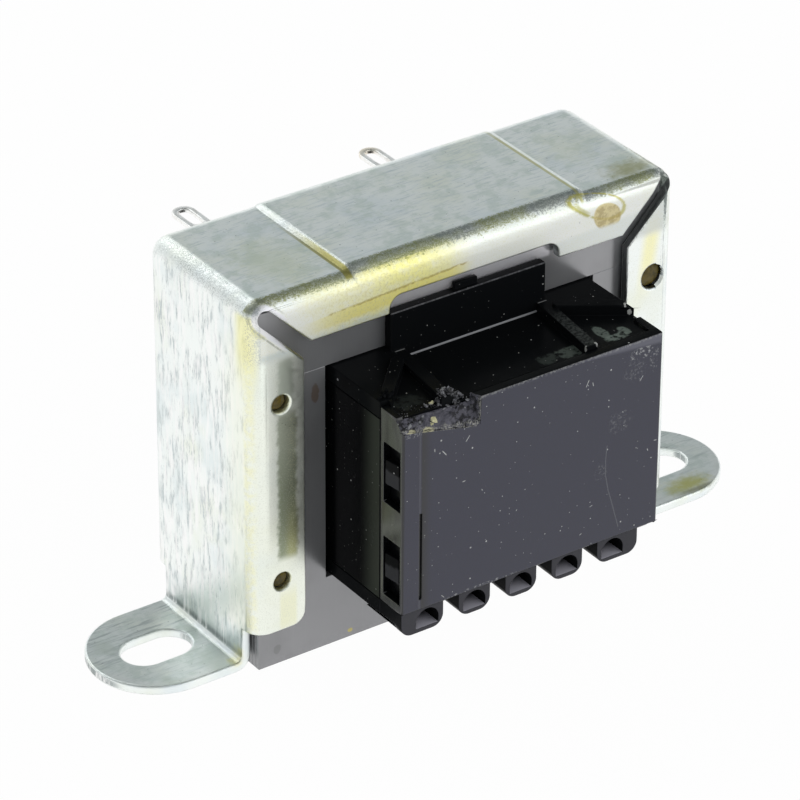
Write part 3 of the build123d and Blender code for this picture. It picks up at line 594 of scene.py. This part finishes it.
def cover_plastic():
    """Cover moulding: painted bluish sheen on its front, rubbed and dusty; an olive bloom on its sides."""
    plastic = black_moulding("cover_plastic", (0.0035, 0.0038, 0.005), 0.2, IOR=1.6)
    front = plastic.times(plastic.step(plastic.facing_y, -0.9, -0.98),
                          plastic.step(plastic.y, -17.4, -17.6))
    # Painted sheen: a bluish tone on the front face only.
    plastic.stain(front, (0.0095, 0.011, 0.035))
    plane = (plastic.x, plastic.z)
    strewn = plastic.step(plastic.grain(3.0, 2.0, shift=(0, 0, 4)), 0.4, 0.55)
    dust = plastic.specks(0.8, 0.35, 0.07, (1, 7, 0), plane)
    plastic.stain(plastic.times(front, dust, strewn, 0.8), (0.5, 0.5, 0.5))
    motes = plastic.specks(1.6, 0.4, 0.1, (4, 2, 0), plane)
    plastic.stain(plastic.times(front, motes, 0.8), (0.65, 0.65, 0.63))
    rub = plastic.step(plastic.grain(0.28, 4.0, 0.65), 0.5, 0.66)
    front_y = -17.7
    rubs = ((11.2, 26.2, 1.5, 0.7, 0.6), (12.6, 25.3, 0.5, 1.4, 0.4), (10.6, 24.7, 1.3, 1.2, 0.15),
            (9.1, 20.0, 1.3, 1.3, 0.15), (7.1, 15.7, 0.8, 1.0, 0.15), (-5.4, 8.7, 4.5, 0.25, 0.5),
            (-12.2, 26.1, 1.6, 0.35, 0.4))
    for x, z, half_width, half_height, share in rubs:
        rubbed = plastic.spot((x, front_y, z), (half_width, 1, half_height), 0.9)
        plastic.stain(plastic.times(rubbed, front, rub, share), (0.6, 0.6, 0.6))
    scratched = ((7.8, 18.2), (7.69, 16.8), (7.72, 15.3), (8.06, 13.6), (8.42, 12.5), (9.28, 9.5))
    for start, end in zip(scratched, scratched[1:]):
        scratch = plastic.stroke(plastic.x, plastic.z, start, end, 0.07)
        plastic.stain(plastic.times(scratch, front, 0.16), (0.5, 0.5, 0.5))
    lint = fibres(plastic, plastic.x, plastic.z, (-11, 9), (24, 17), 14, 3)
    plastic.stain(plastic.times(lint, front, 0.7), (0.7, 0.7, 0.68))
    # Painted reflection: a pale crescent under the upper right edge of the front.
    below_edge = plastic.plus(plastic.z, plastic.times(plastic.math("SUBTRACT", plastic.x, 2.0), 0.095))
    sheen = plastic.times(front, plastic.step(below_edge, 27.5, 27.9))
    plastic.stain(plastic.times(sheen, 0.7), (0.14, 0.14, 0.18))
    rim = plastic.times(plastic.step(plastic.y, -17.5, -17.6), plastic.step(plastic.z, 27.2, 27.42))
    rim_dust = plastic.step(plastic.grain(0.25, 4.0, 0.65), 0.4, 0.62)
    plastic.stain(plastic.times(rim, rim_dust, 0.6), (0.3, 0.3, 0.3))
    # Painted shade just to the right of the vertical line on the front.
    shade_beside_line = plastic.times(front, plastic.step(plastic.x, -11.62, -11.5),
                                plastic.step(plastic.x, -10.4, -11.6))
    plastic.stain(plastic.times(shade_beside_line, 0.9), (0.001, 0.001, 0.002))
    # Painted highlight along the vertical line on the front.
    line = plastic.times(front, plastic.between(plastic.x, -11.82, -11.66, 0.04))
    plastic.stain(plastic.times(line, 0.6), (0.07, 0.07, 0.09))
    side = plastic.times(plastic.step(plastic.facing_x, -0.9, -0.98), plastic.step(plastic.y, -12.9, -13.5))
    bloom = plastic.times(side, plastic.step(plastic.grain((1.0, 0.6, 2.5), 4.0), 0.42, 0.62))
    plastic.stain(plastic.times(bloom, 0.85), (0.04, 0.046, 0.034))
    return plastic.done()


def bobbin_plastic():
    """Bobbin moulding: dried varnish in hollows, dust on arms, painted light on edges, tube ends and bores.
    """
    plastic = black_moulding("bobbin_plastic", (0.0055, 0.0062, 0.007), 0.2, IOR=1.54,
                             Specular_IOR_Level=0.02)
    level = plastic.step(plastic.facing_z, 0.85, 0.97)
    deck = plastic.times(level, plastic.between(plastic.z, 26.95, 28.1, 0.05))
    film = plastic.step(plastic.grain(0.7, 4.0, 0.6), 0.36, 0.54)
    pools = (((9.4, -14.4, 27.25), (0.6, 1.3, 0.6), 0.7), ((10.1, -15.7, 27.25), (1.5, 0.6, 0.6), 0.85),
             ((11.2, -15.2, 27.25), (0.6, 0.8, 0.6), 0.8), ((5.4, -15.3, 27.1), (1.5, 1.0, 0.6), 0.4),
             ((3.1, -15.2, 27.1), (1.2, 0.9, 0.6), 0.18), ((-11.0, -14.6, 27.25), (1.6, 1.4, 0.6), 0.08))
    for centre, radii, share in pools:
        pool = plastic.spot(centre, radii, 0.9)
        plastic.stain(plastic.times(pool, deck, film, share), (0.2, 0.24, 0.21))
    leaning = plastic.plus(plastic.x, plastic.times(plastic.plus(plastic.y, 8.05), -0.122))
    arm = plastic.times(deck, plastic.step(plastic.z, 27.7, 27.9), plastic.between(leaning, 7.2, 8.3, 0.05),
                        plastic.step(plastic.y, -9.5, -12))
    dusty = plastic.step(plastic.grain(0.3, 4.0, 0.65), 0.35, 0.65)
    plastic.stain(plastic.times(arm, dusty, 0.5), (0.1, 0.11, 0.105))
    tips = (((6.15, -16.5, 27.7), 0.16), ((7.2, -16.5, 27.8), 0.2), ((13.0, -12.9, 28.1), 0.2),
            ((13.2, -13.3, 27.6), 0.25))
    for tip, size in tips:
        chafed = plastic.spot(tip, (size, size, 0.35), 0.9, 0.2)
        plastic.stain(plastic.times(chafed, 0.8), (0.55, 0.55, 0.53))
    # Painted highlights: light lines along the right rib edge and at the feet of the tab's ends.
    edge_highlight_lines = (((8.25, -10.0), (8.35, -10.9), 0.6), ((7.2, -8.2), (8.1, -8.2), 0.5),
              ((-7.7, -8.2), (-6.7, -8.2), 0.5))
    for start, end, share in edge_highlight_lines:
        mark = plastic.stroke(plastic.x, plastic.y, start, end, 0.09)
        plastic.stain(plastic.times(mark, deck, share), (0.5, 0.5, 0.5))
    # Painted highlight along the foot of the tab in the recess.
    root = plastic.times(plastic.between(plastic.y, -8.2, -8.0, 0.02),
                         plastic.between(plastic.z, 27.02, 27.2, 0.03))
    plastic.stain(plastic.times(root, 0.9), (0.4, 0.4, 0.42))
    # Painted highlight along the tab's top front edge, varied by the dust pattern.
    tab_edge_highlight = plastic.times(plastic.step(plastic.y, -7.95, -8.0),
                             plastic.between(plastic.z, 31.54, 31.7, 0.02))
    plastic.stain(plastic.times(tab_edge_highlight, plastic.mix(dusty, 0.4, 1.0, "FLOAT"), 0.9), (0.16, 0.16, 0.17))
    # Painted reflection: the front faces of the tube ends made grey.
    tube_end_reflection = plastic.times(plastic.step(plastic.z, 8.7, 8.5),
                              plastic.step(plastic.facing_y, -0.3, -0.9))
    plastic.stain(plastic.times(tube_end_reflection, 0.9), (0.088, 0.086, 0.096))
    # Painted light: the floors of the bores made pale lilac.
    bore_floor_light = plastic.times(level, plastic.between(plastic.z, 6.45, 6.75, 0.04),
                         plastic.step(plastic.y, -15.0, -16.5))
    plastic.stain(plastic.times(bore_floor_light, 0.9), (0.62, 0.6, 0.68))
    return plastic.done()


def side_plate_plastic():
    """Side plate moulding, with an olive bloom towards the front of its left face."""
    plastic = black_moulding("side_plate_plastic", (0.0032, 0.0034, 0.004), 0.24, IOR=1.54,
                             Specular_IOR_Level=0.03)
    left = plastic.step(plastic.facing_x, -0.9, -0.98)
    bloom = plastic.times(left, plastic.step(plastic.y, -11.2, -14.0))
    plastic.stain(plastic.times(bloom, 0.9), (0.04, 0.046, 0.036))
    dusty = plastic.times(plastic.specks(0.6, 0.4, 0.08, (2, 2, 0), (plastic.y, plastic.z)),
                          plastic.step(plastic.grain(1.6, 3.0), 0.45, 0.6))
    plastic.stain(plastic.times(left, dusty, 0.6), (0.3, 0.31, 0.28))
    return plastic.done()


def lug_plastic():
    """Snap lugs of the side plates, with a band polished by the covers."""
    plastic = black_moulding("lug_plastic", (0.0032, 0.0034, 0.004), 0.24, IOR=1.54,
                             Specular_IOR_Level=0.03)
    ragged = plastic.plus(plastic.z, plastic.times(plastic.grain(0.6, 3.0), 0.6))
    for middle in (11.9, 21.1):
        polished = plastic.between(ragged, middle - 0.9, middle + 0.9, 0.15)
        plastic.stain(plastic.times(polished, 0.9), (0.05, 0.05, 0.054))
    return plastic.done()


def break_plastic():
    """Torn plastic: lilac grey where strained, dark veins, pale dust on its lower and right edges."""
    torn = Finish("break_plastic", (0.1, 0.097, 0.12), 0.35, IOR=1.5, Specular_IOR_Level=0.2)
    veined = torn.times(torn.step(torn.x, -9.6, -7.6), torn.step(torn.grain(0.5, 4.0, 0.65), 0.47, 0.56))
    torn.stain(torn.times(veined, 0.9), (0.006, 0.006, 0.008))
    left_grain = torn.grain(0.45, 4.0, 0.65, (2, 0, 0))
    left_end = torn.times(torn.step(torn.x, -10.9, -11.6), torn.step(left_grain, 0.46, 0.54))
    torn.stain(torn.times(left_end, 0.9), (0.006, 0.006, 0.006))
    strained = torn.step(torn.grain(0.9, 3.0, shift=(3, 0, 0)), 0.5, 0.66)
    torn.stain(torn.times(strained, 0.5), (0.17, 0.165, 0.2))
    dust = torn.step(torn.grain(0.16, 3.0, 0.65), 0.42, 0.62)
    low_edge = torn.step(torn.plus(torn.y, torn.times(torn.grain(0.8, 2.0), 0.3)), -17.3, -17.5)
    right_edge = torn.step(torn.plus(torn.x, torn.times(torn.grain(0.6, 2.0), 0.3)), -5.65, -5.4)
    near_front = torn.step(torn.y, -17.0, -17.5)
    edges = torn.either(low_edge, torn.times(right_edge, near_front))
    torn.stain(torn.times(edges, dust, 0.8), (0.46, 0.45, 0.41))
    beige = torn.either(torn.spot((-11.0, -17.65, 25.9), (0.7, 0.3, 0.5), 0.8, 0.3),
                        torn.spot((-12.7, -17.6, 26.2), (0.6, 0.3, 0.4), 0.9, 0.25))
    torn.stain(torn.times(beige, 0.8), (0.66, 0.62, 0.4))
    torn.stain(torn.times(torn.specks(0.45, 0.3, 0.08), 0.7), (0.5, 0.49, 0.47))
    torn.emboss(torn.grain(0.35, 4.0, 0.65), 0.1)
    return torn.done()


def crumb_plastic():
    """Crumbs of the moulding, some black, some strained grey and a few pale ones."""
    crumbs = Finish("crumb_plastic", (0.01, 0.01, 0.013), 0.3, IOR=1.5)
    lot = crumbs.grain(0.4, 1.0)
    crumbs.stain(crumbs.step(lot, 0.4, 0.5), (0.09, 0.09, 0.1))
    crumbs.stain(crumbs.step(lot, 0.56, 0.64), (0.26, 0.26, 0.28))
    beige = crumbs.either(crumbs.spot((-9.5, -16.1, 28.0), (0.5, 0.45, 0.8), 0.0),
                          crumbs.spot((-10.2, -17.25, 26.6), (0.8, 0.6, 0.9), 0.0))
    crumbs.stain(crumbs.times(beige, 0.9), (0.72, 0.68, 0.4))
    crumbs.emboss(crumbs.grain(0.12, 3.0), 0.02)
    return crumbs.done()


def varnish():
    """Amber impregnating varnish that has run into the lip holes."""
    resin = Finish("varnish", (0.15, 0.11, 0.025), 0.2, IOR=1.5, Specular_IOR_Level=0.25)
    resin.stain(resin.times(resin.step(resin.grain(0.5, 3.0), 0.4, 0.65), 0.7), (0.05, 0.04, 0.01))
    resin.emboss(resin.grain(0.4, 2.0), 0.03)
    return resin.done()


def tinned_brass():
    """Tin plated solder tags, worn to brass at the outer end of the upper right one."""
    tin = Finish("tinned_brass", (1.0, 1.0, 0.98), 0.32, Metallic=1.0)
    tin.stain(tin.times(tin.step(tin.grain(0.6, 3.0), 0.45, 0.7), 0.4), (0.66, 0.62, 0.56))
    worn = tin.times(tin.step(tin.y, 20.6, 22.2), tin.step(tin.x, 0, 2), tin.step(tin.z, 20, 22))
    tin.stain(tin.times(worn, 0.4), (0.86, 0.68, 0.38))
    tin.emboss(tin.grain((0.2, 2.0, 0.2), 3.0), 0.006)
    return tin.done()


def enamelled_wire():
    """Turns of enamelled copper wire."""
    wire = Finish("enamelled_wire", (0.55, 0.2, 0.07), 0.3, Metallic=1.0)
    turns = wire.math("SINE", wire.times(wire.z, 21.0))
    # Painted shade: half of each turn's pitch darker, as in the grooves between wires.
    wire.stain(wire.times(wire.step(turns, 0.0, -1.0), 0.7), (0.2, 0.06, 0.02))
    wire.stain(wire.times(wire.step(wire.grain(1.5, 3.0), 0.5, 0.7), 0.4), (0.7, 0.3, 0.12))
    wire.emboss(turns, 0.1)
    return wire.done()


def film_tape():
    """Yellow film tape wound in layers."""
    film = Finish("film_tape", (0.75, 0.56, 0.12), 0.3, IOR=1.5)
    film.stain(film.times(film.step(film.grain((3.0, 3.0, 0.6), 3.0), 0.5, 0.7), 0.5), (0.6, 0.42, 0.08))
    film.emboss(film.grain((2.0, 2.0, 0.4), 2.0), 0.02)
    return film.done()


# Pieces

def piece(name, shape, finish, smooth=True):
    """Object of a finished bmesh, riding on the part."""
    mesh = bpy.data.meshes.new(name)
    shape.to_mesh(mesh)
    shape.free()
    mesh.materials.append(finish)
    made = bpy.data.objects.new(name, mesh)
    scene.collection.objects.link(made)
    mesh.polygons.foreach_set("use_smooth", [smooth] * len(mesh.polygons))
    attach(made, "root")
    return made


def stays_sharp(edge):
    """Whether an edge of the frame belongs to the creases of its top, or to a hole or slit in a bend."""
    middle = sum((vert.co for vert in edge.verts), Vector()) / 2 / MM
    on_crease = middle.z > 34 and 11 < abs(middle.x - 0.5) < 14.5
    return on_crease or (middle.z > 6 and abs(middle.x) > 20.2)


def softened(node, round_mm, finish, other=None, where=None):
    """Copy of a solid with its sharp edges rounded off, which stands for the solid.

    Wide flats are made whole first; on small mouldings that step can fill a window's edge badly.
    Faces that where picks take the other finish."""
    shape = bmesh.new()
    shape.from_mesh(nodes[node].data)
    bmesh.ops.remove_doubles(shape, verts=shape.verts, dist=WELD)
    if node in WITH_WIDE_FLATS:
        bmesh.ops.dissolve_limit(shape, angle_limit=FLAT_ENOUGH, verts=shape.verts, edges=shape.edges)
    sharp = [edge for edge in shape.edges if edge.is_manifold and edge.calc_face_angle() > SHARP_ENOUGH]
    if node == "clamp_frame":
        sharp = [edge for edge in sharp if not stays_sharp(edge)]
    bmesh.ops.bevel(shape, geom=sharp, offset=round_mm * MM, offset_type="OFFSET", affect="EDGES",
                    segments=2, profile=0.5, material=-1, clamp_overlap=False, loop_slide=True)
    if where:
        for face in shape.faces:
            face.material_index = int(where(face.normal, face.calc_center_median() / MM))
    made = piece(node + "_softened", shape, finish)
    if other:
        made.data.materials.append(other)
    shading = made.modifiers.new("even_shading", "WEIGHTED_NORMAL")
    shading.keep_sharp = True
    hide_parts(node)


def looks_up(normal, middle):
    """Whether a face of the front cover looks upwards, where it matches the bobbin."""
    return normal.z > 0.6


def at_front_lugs(normal, middle):
    """Whether a face of a side plate belongs to its front snap lugs."""
    lug_y = -14.4
    return middle.y < lug_y


def finished(node, finish):
    """A solid that is shown as it is, with its finish."""
    mesh = nodes[node].data
    mesh.materials.clear()
    mesh.materials.append(finish)


def lip_varnish(finish):
    """Domed varnish plugs in the holes of the frame's lips."""
    half_thick, lip_y = 0.32, 7.36
    shape = bmesh.new()
    for face in (-1, 1):
        for x, radius in ((-19.194, 0.83), (19.744, 1.18)):
            for z in (9.08, 26.58):
                flat = Matrix.Diagonal((radius * MM, half_thick * MM, radius * MM, 1))
                spot = Matrix.Translation(Vector((x, face * lip_y, z)) * MM)
                bmesh.ops.create_icosphere(shape, subdivisions=3, radius=1.0, matrix=spot @ flat)
    piece("lip_varnish", shape, finish)


def top_surface():
    """Function that gives the height of the bobbin and front cover under a point of the plan."""
    surfaces = []
    for name in ("bobbin", "front_cover"):
        shape = bmesh.new()
        shape.from_mesh(nodes[name].data)
        surfaces.append(BVHTree.FromBMesh(shape))
        shape.free()

    def height(x, y):
        hits = [tree.ray_cast(Vector((x, y, 40)) * MM, Vector((0, 0, -1)))[0] for tree in surfaces]
        return max((hit.z for hit in hits if hit), default=0.0) / MM

    return height


def crumb(shape, chance, centre, size, flat=0.8, facets=2):
    """One angular crumb, turned at random."""
    middle = Vector(centre) * MM
    place = Matrix.Translation(middle)
    made = bmesh.ops.create_icosphere(shape, subdivisions=facets, radius=size * MM, matrix=place)
    shift = Vector((chance.random(), chance.random(), chance.random())) * 50
    axis = Vector((chance.gauss(0, 1), chance.gauss(0, 1), chance.gauss(0, 1))).normalized()
    turn = Matrix.Rotation(chance.uniform(0, 3.1), 3, axis)
    for vert in made["verts"]:
        arm = vert.co - middle
        reach = 0.75 + 0.7 * noise.noise(arm / (size * MM) * 1.1 + shift)
        vert.co = middle + turn @ Vector((arm.x, arm.y * (1 + flat) / 2, arm.z * flat)) * reach


def break_crumbs(finish, height):
    """Heap of crumbs over the left arm and the break, with a few scattered round it."""
    chance = Random(11)
    shape = bmesh.new()
    for _ in range(110):
        along = min(max(chance.gauss(0.6, 0.24), 0.0), 1.0)
        x = -10.1 + 3.8 * along + chance.gauss(0, 0.15)
        y = -16.15 - 0.45 * along + chance.gauss(0, 0.3)
        pile = max(0.0, 1.0 - abs(x + 7.7) / 2.0) * max(0.0, 1.0 - abs(y + 16.2) / 0.9) * 0.7
        ground = height(x, y)
        if ground > LOWEST_GROUND and y > -17.2:
            size = chance.choice((0.14, 0.2, 0.26, 0.34, 0.42))
            crumb(shape, chance, (x, y, ground + pile * chance.random() + size * 0.15), size, 0.35, 1)
    large = ((-11.4, -17.2, 0.34), (-11.0, -16.95, 0.26), (-11.9, -17.3, 0.24), (-12.6, -17.3, 0.26),
             (-12.2, -17.45, 0.2), (-12.9, -17.4, 0.2), (-12.4, -17.1, 0.18), (-9.35, -16.0, 0.26),
             (-9.55, -16.1, 0.3), (-10.1, -17.2, 0.42), (-10.4, -17.35, 0.26))
    for x, y, size in large:
        crumb(shape, chance, (x, y, height(x, y) + size * 0.4), size, 0.7, 2)
    for _ in range(34):
        x, y = chance.uniform(-13.2, -9.4), chance.uniform(-17.0, -15.2)
        size = chance.choice((0.05, 0.07, 0.1))
        if height(x, y) > LOWEST_GROUND:
            crumb(shape, chance, (x, y, height(x, y) + size * 0.3), size, 0.6, 1)
    piece("break_crumbs", shape, finish, False)


def rib_beads(finish, height):
    """Melted beads at the outer end of the left corner rib."""
    chance = Random(5)
    shape = bmesh.new()
    beads = ((-13.2, -13.9, 0.3), (-12.8, -13.9, 0.3), (-12.35, -13.6, 0.26), (-12.5, -14.2, 0.24),
             (-13.1, -14.4, 0.2), (-12.0, -13.9, 0.18))
    for x, y, size in beads:
        crumb(shape, chance, (x, y, height(x, y) + size * 0.3), size)
    piece("rib_beads", shape, finish)


def break_face(finish):
    """Rough skin of the broken corner, laid on the break of the front cover."""
    shape = bmesh.new()
    shape.from_mesh(nodes["front_cover"].data)
    bmesh.ops.remove_doubles(shape, verts=shape.verts, dist=WELD)
    torn = []
    for face in shape.faces:
        middle = face.calc_center_median() / MM
        slanting = max(abs(share) for share in face.normal) < 0.985 and face.normal.z > 0.15
        right_end = face.normal.x < -0.7 and middle.x > -6.1
        if middle.x < -5.5 and 24.6 < middle.z < 27.45 and (slanting or right_end):
            torn.append(face)
    bmesh.ops.delete(shape, geom=[face for face in shape.faces if face not in torn], context="FACES")
    bmesh.ops.triangulate(shape, faces=shape.faces)
    bmesh.ops.subdivide_edges(shape, edges=shape.edges, cuts=11, use_grid_fill=True)
    for vert in shape.verts:
        if not vert.is_boundary:
            height = 0.08 + 0.2 * noise.fractal(vert.co / MM * 1.3, 0.6, 2.0, 4)
            vert.co += vert.normal * max(height, 0.02) * MM
            vert.co.y = max(vert.co.y, cad_low.y)
    skin = 0.04 * MM
    bmesh.ops.solidify(shape, geom=shape.faces, thickness=skin)
    piece("break_face", shape, finish)


photo_camera()
white_floor()
studio_room()
softbox("key_softbox", (0.49, -0.63, 0.6), 1.0, 1.15, 3.3)
softbox("back_softbox", (-0.1, 0.72, 0.68), 0.9, 0.62, 1.5)

zinc = zinc_plate()
steel = core_steel()
cover_black = cover_plastic()
bobbin_black = bobbin_plastic()
plate_black = side_plate_plastic()
lug_black = lug_plastic()
tin = tinned_brass()
wire = enamelled_wire()
tape = film_tape()

softened("clamp_frame", 0.22, zinc)
softened("e_laminations", 0.05, steel)
softened("i_laminations", 0.05, steel)
softened("bobbin", 0.07, bobbin_black)
softened("front_cover", 0.1, cover_black, bobbin_black, looks_up)
softened("rear_cover", 0.1, cover_black)
for side in ("left", "right"):
    softened(side + "_side_plate", 0.1, plate_black, lug_black, at_front_lugs)
    softened("primary_tag_" + side, 0.08, tin)
    softened("secondary_tag_" + side, 0.08, tin)
    finished("primary_lead_" + side, wire)
    finished("secondary_lead_" + side, wire)
for winding in ("primary", "secondary"):
    finished(winding + "_winding", wire)
    finished(winding + "_tape", tape)

deck_height = top_surface()
lip_varnish(varnish())
break_face(break_plastic())
break_crumbs(crumb_plastic(), deck_height)
rib_beads(bobbin_black, deck_height)
